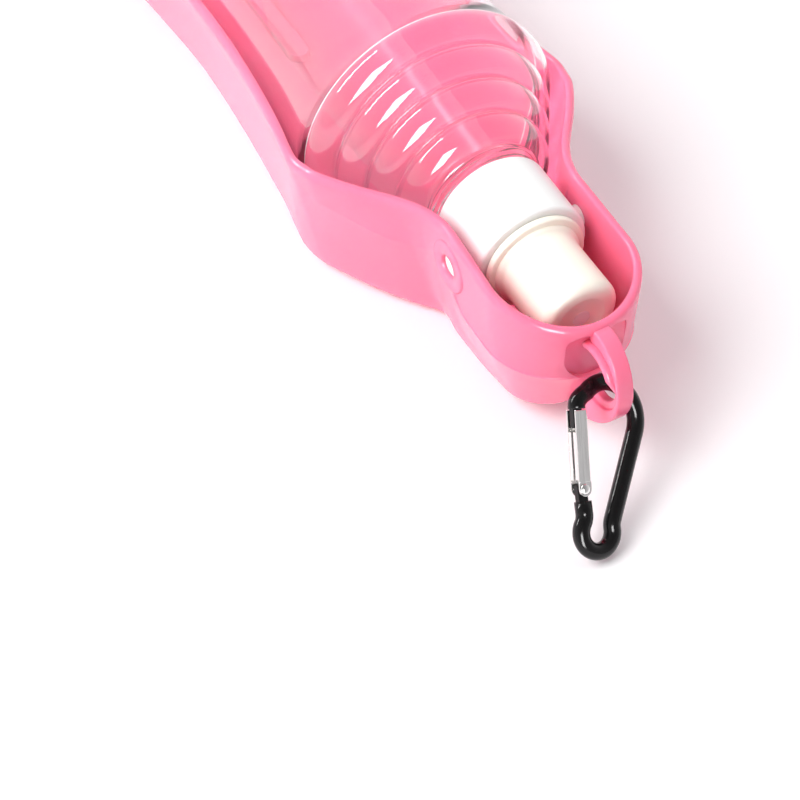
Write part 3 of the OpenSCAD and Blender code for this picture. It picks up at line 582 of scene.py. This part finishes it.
# From the bore's edge over the outside to the post's end, then from the end wall back to the bore
bore_r, bore_end, spout_bore, post_r, post_end = 14.05, 17.0, 5.55, 2.2, nozzle_tip - 0.12
cap_outline = rounded([
    (0, bore_r), (0, cap_r), (cap_len - 0.5, cap_r - 0.25), (cap_len, cap_r - 0.75), (cap_len, spout_r),
    (spout_end, spout_r), (spout_end, post_r), (post_end, post_r), (post_end, 0), (spout_end - 1.6, 0),
    (spout_end - 1.6, spout_bore), (bore_end, spout_bore), (bore_end, bore_r)], 0.3, (0, 1, 2, 3, 4, 5, 12))
split = next(i for i, p in enumerate(cap_outline) if p.y == 0) + 1
shape = bmesh.new()
turn(shape, cap_outline[:split], *bottle_axis)
turn(shape, cap_outline[split:] + cap_outline[:1], *bottle_axis)
thread(shape, thread_x - pitch / 2, bore_r + 0.15, -1.05, 1.2)
cap = finish_piece(shape, "screw_cap_moulding", white_plastic, "cap", ["screw_cap"], crisp=40)
port_at, port_r = 3.9, 1.25
for quarter in range(4):
    a = math.radians(45 + 90 * quarter)
    y, z = port_at * math.cos(a), axis_h + port_at * math.sin(a)
    ring = [(y + port_r * math.cos(b), z + port_r * math.sin(b))
            for b in (2 * math.pi * k / 24 for k in range(24))]
    tool = bmesh.new()
    loft(tool, [[(x, py, pz) for py, pz in ring] for x in (spout_end - 3, spout_end + 1)], caps=True)
    cut(cap, tool)

# Trunnions with their thicker roots
pin_root, pin_end, pin_r = 14.2, 18.1, 2.9
pin = rounded([(pin_root, 0), (pin_root, pin_r + 0.2), (pin_root + 0.8, pin_r), (pin_end, pin_r), (pin_end, 0)],
              0.3, (3,))
for side, name in ((-1, "trunnion_right"), (1, "trunnion_left")):
    shape = bmesh.new()
    turn(shape, [(side * y, r) for y, r in pin], *trunnion_axis, steps=48)
    finish_piece(shape, name, white_plastic, "cap", crisp=50)


# ---------------------------------------------------------------------------
# Nozzle. Soft cream polyethylene, moulded with a finger flange. It pushes on
# over the spout, and pulls out 3 mm to open.
# ---------------------------------------------------------------------------

# Low-density polyethylene in a warm cream: waxy, light goes a few millimetres into it, and the
# mould leaves a matt grain of about 0.5 mm.
cream_plastic = new_material("waxy_cream_polyethylene")
where = put(cream_plastic, "TexCoord").outputs["Object"]
grain = put(cream_plastic, "TexNoise", {"Vector": where, "Scale": 2000.0, "Detail": 2.0, "Roughness": 0.6})
cloud = put(cream_plastic, "TexNoise", {"Vector": where, "Scale": 70.0, "Detail": 1.0})
tint = put(cream_plastic, "Mix", {"Factor": cloud.outputs["Fac"], "A": linear("FDF6EA"), "B": linear("FAF0E1")},
           data_type="RGBA")
waxy = put(cream_plastic, "MapRange", {"Value": grain.outputs["Fac"], "To Min": 0.38, "To Max": 0.5})
relief = put(cream_plastic, "Bump", {"Height": grain.outputs["Fac"], "Strength": 0.08, "Distance": 0.0002})
skin = put(cream_plastic, "BsdfPrincipled", {
    "Base Color": tint.outputs["Result"], "Roughness": waxy.outputs["Result"], "IOR": 1.5,
    "Subsurface Weight": 0.12, "Subsurface Radius": (1.0, 0.75, 0.55), "Subsurface Scale": 0.0015,
    "Normal": relief.outputs["Normal"]})
put(cream_plastic, "OutputMaterial", {"Surface": skin.outputs["BSDF"]})

nozzle_back, nozzle_r, flange_r, flange_w, tip_r = 19.55, 10.2, 13.0, 1.8, 2.4
slide_r, mouth_r, tip_wall = spout_r + 0.05, 2.25, 2.0
outline = rounded([(nozzle_back, slide_r), (nozzle_back, flange_r), (nozzle_back + flange_w, flange_r),
                   (nozzle_back + flange_w, nozzle_r + 1.1)], 0.45, (1, 2))
outline += [(nozzle_back + 2.5, nozzle_r + 1.0), (nozzle_back + 2.9, nozzle_r + 0.6),
            (nozzle_back + 3.3, nozzle_r + 0.2), (nozzle_back + 4.2, nozzle_r)]
outline += [(nozzle_tip - tip_r + tip_r * math.sin(a), nozzle_r - tip_r + tip_r * math.cos(a))
            for a in (math.radians(90 * k / 10) for k in range(11))]
outline += [(nozzle_tip, 6.1), (nozzle_tip - 0.03, 5.95), (post_end, 5.8), (post_end, mouth_r),
            (nozzle_tip - tip_wall, mouth_r), (nozzle_tip - tip_wall, slide_r)]
shape = bmesh.new()
turn(shape, outline, *bottle_axis, closed=True, steps=128)
finish_piece(shape, "pull_nozzle", cream_plastic, "nozzle", ["nozzle"], crisp=50)


# ---------------------------------------------------------------------------
# Snap hook. An aluminium rod bent to a pear shape and anodised glossy black,
# with a tab pressed at its nose and one at its hinge.
# ---------------------------------------------------------------------------

rod_r, big_r, small_r, span, slope, gate_line = 2.045, 9.1, 4.4, 25.4, math.radians(13), 8.6
bend_r, rivet_s, rivet_d, nose_turn = 4.0, 14.3, 0.2, math.radians(4.5)
hinge_end, nose_end = 17.2, -3.9    # where the rod ends, along the gate's line
# Where it hangs in the loop: the rod's middle off the hole's middle, then yaw, dip and lean
hang, hang_dip = 2.3, math.radians(38.5)
yaw, dip, lean = math.radians(-32.9), math.radians(36.7), math.radians(-34)
rod_at = Vector((hang * math.cos(hang_dip), 0, -hang * math.sin(hang_dip)))
hook_place = (Matrix.Translation(Vector((loop_x, 0, loop_z))) @ Matrix.Translation(rod_at)
              @ Matrix.Rotation(yaw, 4, "Z") @ Matrix.Rotation(dip, 4, "Y")
              @ Matrix.Rotation(lean, 4, "X") @ Matrix.Translation(Vector((big_r, 0, 0))))
gate_frame = (hook_place @ Matrix.Rotation(math.pi, 4, "X") @ Matrix.Rotation(-slope, 4, "Z")
              @ Matrix.Translation(Vector((0, gate_line, 0))))
gate_place = (gate_frame @ Matrix.Translation(Vector((rivet_s, rivet_d, 0)))
              @ Matrix.Rotation(nose_turn, 4, "Z") @ Matrix.Translation(Vector((-rivet_s, -rivet_d, 0))))
to_hook = hook_place.inverted() @ gate_place


def on_side(d, s, side):
    """Point s along the hook's straight side at distance d from its middle line."""
    return Vector((s * math.cos(slope) + d * math.sin(slope),
                   side * (d * math.cos(slope) - s * math.sin(slope)), 0))


def bend(d):
    """Where the side at distance d turns into the small end: how far along it, and the angle turned."""
    into = d + bend_r - span * math.sin(slope)
    back = math.sqrt((small_r + bend_r) ** 2 - into**2)
    return span * math.cos(slope) - back, math.pi / 2 - slope + math.atan2(back, into)


def bend_point(d, t, side):
    """Point at the share t of that turn."""
    s, last = bend(d)
    a = mix(math.pi / 2 - slope, last, t)
    return on_side(d + bend_r, s, side) - bend_r * Vector((math.cos(a), side * math.sin(a), 0))


path = [on_side(gate_line, hinge_end, -1)]
path += [bend_point(gate_line, k / 8, -1) for k in range(9)]
path += [Vector((span + small_r * math.cos(a), small_r * math.sin(a), 0))
         for a in (mix(-bend(gate_line)[1], bend(big_r)[1], i / 40) for i in range(1, 40))]
path += [bend_point(big_r, k / 8, 1) for k in range(8, -1, -1)]
spine_end, hook_end, tighten = math.pi / 2 - slope, math.radians(222), 0.9
path += [bend_point(big_r, 0, 1).lerp(Vector((big_r * math.cos(spine_end), big_r * math.sin(spine_end), 0)), k / 8)
         for k in range(1, 8)]
for t in (i / 36 for i in range(37)):
    a, r = mix(spine_end, hook_end, t), big_r - tighten * max(0, t - 0.6) ** 2 / 0.16
    path.append(Vector((r * math.cos(a), r * math.sin(a), 0)))
p0, p1, p2 = path[-1], to_hook @ Vector((nose_end - 2.3, 0, 0)), to_hook @ Vector((nose_end - 0.5, 0, 0))
path += [(1 - t) ** 2 * p0 + 2 * t * (1 - t) * p1 + t * t * p2 for t in (k / 8 for k in range(1, 9))]
path += [to_hook @ Vector((nose_end, 0, 0))]


def tube(shape, place, path, radius, sides=28):
    """A round bar that follows a flat path."""
    rings = []
    for i, p in enumerate(path):
        t = path[min(i + 1, len(path) - 1)] - path[max(i - 1, 0)]
        n = Vector((t.y, -t.x, 0)).normalized()
        rings.append([place @ (p + radius * (math.cos(b) * n + math.sin(b) * Vector((0, 0, 1))))
                      for b in (2 * math.pi * j / sides for j in range(sides))])
    loft(shape, rings, caps=True)


def block(shape, place, low, high, soft):
    """A box between two corners, its edges rounded by soft."""
    low, high = Vector(low), Vector(high)
    made = bmesh.ops.create_cube(shape, size=1)["verts"]
    for v in made:
        v.co = (low + high) / 2 + Vector(c * s for c, s in zip(v.co, high - low))
    edges = list({e for v in made for e in v.link_edges})
    rounded_off = bmesh.ops.bevel(shape, geom=edges, offset=soft, segments=3, profile=0.5, affect="EDGES",
                                  material=-1)
    verts = {v for f in rounded_off["faces"] for v in f.verts} | {v for v in made if v.is_valid}
    for v in verts:
        v.co = place @ v.co * 0.001


# Aluminium rod, polished and then anodised black: a deep gloss with faint draw lines along it
# and a few paler rubbed spots about 3 mm across.
black_rod = new_material("glossy_black_anodised_aluminium")
where = put(black_rod, "TexCoord").outputs["Object"]
patch = put(black_rod, "TexNoise", {"Vector": where, "Scale": 350.0, "Detail": 3.0, "Roughness": 0.6})
tint = put(black_rod, "Mix", {"Factor": patch.outputs["Fac"], "A": linear("060606"), "B": linear("121112")},
           data_type="RGBA")
scuff = put(black_rod, "TexNoise", {"Vector": where, "Scale": 1800.0, "Detail": 3.0, "Roughness": 0.6})
gloss = put(black_rod, "MapRange", {"Value": scuff.outputs["Fac"], "To Min": 0.1, "To Max": 0.2})
relief = put(black_rod, "Bump", {"Height": scuff.outputs["Fac"], "Strength": 0.06, "Distance": 0.0002})
coat = put(black_rod, "BsdfPrincipled", {
    "Base Color": tint.outputs["Result"], "Roughness": gloss.outputs["Result"], "IOR": 1.5,
    "Specular IOR Level": 0.3, "Normal": relief.outputs["Normal"]})
put(black_rod, "OutputMaterial", {"Surface": coat.outputs["BSDF"]})

shape = bmesh.new()
tube(shape, hook_place, path, rod_r)
finish_piece(shape, "hook_rod", black_rod, "hook", ["hook_body"])
nose_tab = (-4.9, -0.9, -0.9), (0.4, 1.5, 0.9)
hinge_tab = (13.2, -1.1, -0.9), (18.2, 1.5, 0.9)
shape = bmesh.new()
block(shape, gate_place, *nose_tab, 0.2)
finish_piece(shape, "hook_nose_tab", black_rod, "hook", smooth=False)
shape = bmesh.new()
block(shape, gate_frame, *hinge_tab, 0.3)
finish_piece(shape, "hook_hinge_tab", black_rod, "hook", smooth=False)


# ---------------------------------------------------------------------------
# Gate, rivet and spring of the hook. The gate is a channel folded from bright
# plated sheet; a headed rivet carries it, and a small coil spring closes it.
# ---------------------------------------------------------------------------

# Nickel-plated steel, rolled: bright, with fine draw lines along the channel about 0.6 mm apart.
plated_steel = new_material("bright_nickel_plated_steel")
where = put(plated_steel, "TexCoord").outputs["Object"]
lines = put(plated_steel, "Mapping", {"Vector": where, "Rotation": gate_place.to_euler(),
                                       "Scale": (0.01, 0.0006, 0.0006)}, vector_type="TEXTURE")
drawn = put(plated_steel, "TexNoise", {"Vector": lines.outputs["Vector"], "Scale": 1.0, "Detail": 2.0})
tint = put(plated_steel, "Mix", {"Factor": drawn.outputs["Fac"], "A": linear("DAD9D8"), "B": linear("F2F1EF")},
           data_type="RGBA")
shine = put(plated_steel, "MapRange", {"Value": drawn.outputs["Fac"], "To Min": 0.14, "To Max": 0.28})
relief = put(plated_steel, "Bump", {"Height": drawn.outputs["Fac"], "Strength": 0.08, "Distance": 0.0001})
metal = put(plated_steel, "BsdfPrincipled", {
    "Base Color": tint.outputs["Result"], "Metallic": 1.0, "Roughness": shine.outputs["Result"],
    "Normal": relief.outputs["Normal"]})
put(plated_steel, "OutputMaterial", {"Surface": metal.outputs["BSDF"]})

gate_from, gate_to, gate_back, fold = -3.6, 12.7, 1.7, 0.35
half, sheet = 1.8, 0.4
lip_from, lip_to, slot_half = 1.3, 12.2, 0.35
shape = bmesh.new()
outline = [(-half, gate_back), (-half, fold - gate_back), (0.1 - half, 0.1 - gate_back),
           (fold - half, -gate_back), (half - fold, -gate_back), (half - 0.1, 0.1 - gate_back),
           (half, fold - gate_back), (half, gate_back), (half - sheet, gate_back),
           (half - sheet, sheet - gate_back), (sheet - half, sheet - gate_back), (sheet - half, gate_back)]
loft(shape, [[gate_place @ Vector((s, y, z)) for z, y in outline] for s in (gate_from, 4.0, gate_to)], caps=True)
for z0, z1 in ((-half, sheet - half), (half - sheet, half)):
    cheek = [(gate_to, -gate_back), (gate_to, gate_back), (rivet_s, gate_back)]
    cheek += [(rivet_s + gate_back * math.sin(a), gate_back * math.cos(a))
              for a in (math.radians(180 * k / 16) for k in range(1, 16))] + [(rivet_s, -gate_back)]
    loft(shape, [[gate_place @ Vector((s, y, z)) for s, y in cheek] for z in (z0, z1)], caps=True)
for z0, z1 in ((sheet - half, -slot_half), (slot_half, half - sheet)):
    block(shape, gate_place, (lip_from, gate_back - 0.36, z0), (lip_to, gate_back - 0.02, z1), 0.08)
gate = finish_piece(shape, "folded_gate", plated_steel, "gate", ["hook_gate"], smooth=False)
break_edges(gate, 0.1, 50)

shape = bmesh.new()
shank_r, head_r = 0.8, 1.3
head = [(1.9, shank_r), (1.9, head_r), (1.95, head_r), (2.25, head_r - 0.1), (2.5, shank_r), (2.55, 0)]
turn(shape, [(-z, r) for z, r in head[::-1]] + head, gate_frame @ Vector((rivet_s, rivet_d, 0)),
     gate_frame.to_3x3() @ Vector((0, 0, 1)), gate_frame.to_3x3() @ Vector((1, 0, 0)), steps=32)
finish_piece(shape, "gate_rivet_headed", plated_steel, "hook", ["gate_rivet"], crisp=50)

coil_r, coil_off, wire_r, coil_from, coil_to, turns = 0.85, 0.15, 0.17, 5.2, 12.5, 7
rings = []
for i in range(turns * 16 + 1):
    a = 2 * math.pi * i / 16
    out = Vector((0, math.cos(a), math.sin(a)))
    middle = Vector((mix(coil_from, coil_to, i / (turns * 16)), coil_off, 0)) + coil_r * out
    rings.append([gate_place @ (middle + wire_r * (math.cos(b) * out + math.sin(b) * Vector((1, 0, 0))))
                  for b in (2 * math.pi * j / 8 for j in range(8))])
shape = bmesh.new()
loft(shape, rings, caps=True)
finish_piece(shape, "gate_coil_spring", plated_steel, "gate", ["gate_spring"])


# ---------------------------------------------------------------------------
# Studio. A pale floor in a white room, paler low down and towards the back. A
# broad lamp at the left throws the soft shadow and one above fills it; a strip
# and a window, seen only in reflections, draw streaks on the rings and rod.
# ---------------------------------------------------------------------------

# Matt white background board with the faint mottle of paint.
board = new_material("matt_white_board")
where = put(board, "TexCoord").outputs["Object"]
mottle = put(board, "TexNoise", {"Vector": where, "Scale": 8.0, "Detail": 2.0})
tint = put(board, "Mix", {"Factor": mottle.outputs["Fac"], "A": linear("FBFAFB"), "B": linear("F8F6F8")},
           data_type="RGBA")
paint = put(board, "BsdfPrincipled", {"Base Color": tint.outputs["Result"], "Roughness": 0.9,
                                      "Specular IOR Level": 0.1})
put(board, "OutputMaterial", {"Surface": paint.outputs["BSDF"]})

floor_half, floor_drop = 3.0, 0.00005
shape = bmesh.new()
bmesh.ops.create_grid(shape, x_segments=4, y_segments=4, size=floor_half)
for v in shape.verts:
    v.co.z = -floor_drop
mesh = bpy.data.meshes.new("floor")
shape.to_mesh(mesh)
shape.free()
mesh.materials.append(board)
floor = bpy.data.objects.new("floor", mesh)
bpy.context.scene.collection.objects.link(floor)

world = bpy.data.worlds.new("white_room")
world.use_nodes = True
world.node_tree.nodes.clear()
aim = put(world, "TexCoord")
part = put(world, "SeparateXYZ", {"Vector": aim.outputs["Generated"]})
dim = put(world, "MapRange", {"Value": part.outputs["Z"], "From Min": 0.1, "From Max": 0.9,
                              "To Min": 1.15, "To Max": 0.34})
shade = put(world, "MapRange", {"Value": part.outputs["X"], "From Min": 0.0, "From Max": 0.8,
                                "To Min": 1.0, "To Max": 0.5})
glow = put(world, "Math", {0: dim.outputs["Result"], 1: shade.outputs["Result"]}, operation="MULTIPLY")
sky = put(world, "Background", {"Color": linear("FDFBFD"), "Strength": glow.outputs["Value"]})
put(world, "OutputWorld", {"Surface": sky.outputs["Background"]})
bpy.context.scene.world = world

# The picture's directions, and away from the camera over the floor; the camera's place; what is lit
to_camera = Vector((0.56619, -0.30232, 0.76683))
right = Vector((0.47101, 0.88213, 0.0))
up = Vector((-0.67644, 0.36119, 0.64185))
away = Vector((-0.8821, 0.4710, 0.0))
eye = Vector((0.292756, -0.181246, 0.374770))
target = Vector((0.01, 0.0, 0.03))


def softbox(name, direction, distance, width, height, watts, seen_by, turned=0):
    """A rectangular lamp that faces the object from that direction, seen by one kind of ray only."""
    lamp = bpy.data.lights.new(name, "AREA")
    lamp.shape, lamp.size, lamp.size_y, lamp.energy = "RECTANGLE", width, height, watts
    thing = bpy.data.objects.new(name, lamp)
    back = direction.normalized()
    thing.matrix_world = (Matrix.Translation(target + back * distance)
                          @ back.to_track_quat("Z", "Y").to_matrix().to_4x4()
                          @ Matrix.Rotation(math.radians(turned), 4, "Z"))
    thing.visible_diffuse, thing.visible_glossy = seen_by == "diffuse", seen_by == "glossy"
    thing.visible_transmission = False
    bpy.context.scene.collection.objects.link(thing)


softbox("key_softbox", right * -0.6 + away * -0.3 + Vector((0, 0, 0.74)), 0.9, 0.6, 0.6, 8.4, "diffuse")
softbox("top_softbox", right * 0.25 + away * 0.2 + Vector((0, 0, 1.0)), 1.2, 0.8, 0.8, 3.2, "diffuse")
softbox("left_strip", right * -0.78 + away * 0.31 + Vector((0, 0, 0.55)), 0.9, 0.05, 0.55, 4.5, "glossy", 45)
softbox("front_window", right * 0.05 + away * -0.92 + Vector((0, 0, 0.42)), 1.1, 0.42, 0.7, 22.0, "glossy")

lens = bpy.data.cameras.new("camera")
lens.lens, lens.sensor_width, lens.sensor_fit = 90.0, 36.0, "HORIZONTAL"
lens.clip_start, lens.clip_end = 0.01, 20.0
camera = bpy.data.objects.new("camera", lens)
camera.matrix_world = Matrix(((right.x, up.x, to_camera.x, eye.x), (right.y, up.y, to_camera.y, eye.y),
                              (right.z, up.z, to_camera.z, eye.z), (0, 0, 0, 1)))
bpy.context.scene.collection.objects.link(camera)
bpy.context.scene.camera = camera
bpy.context.scene.view_settings.view_transform = "Standard"
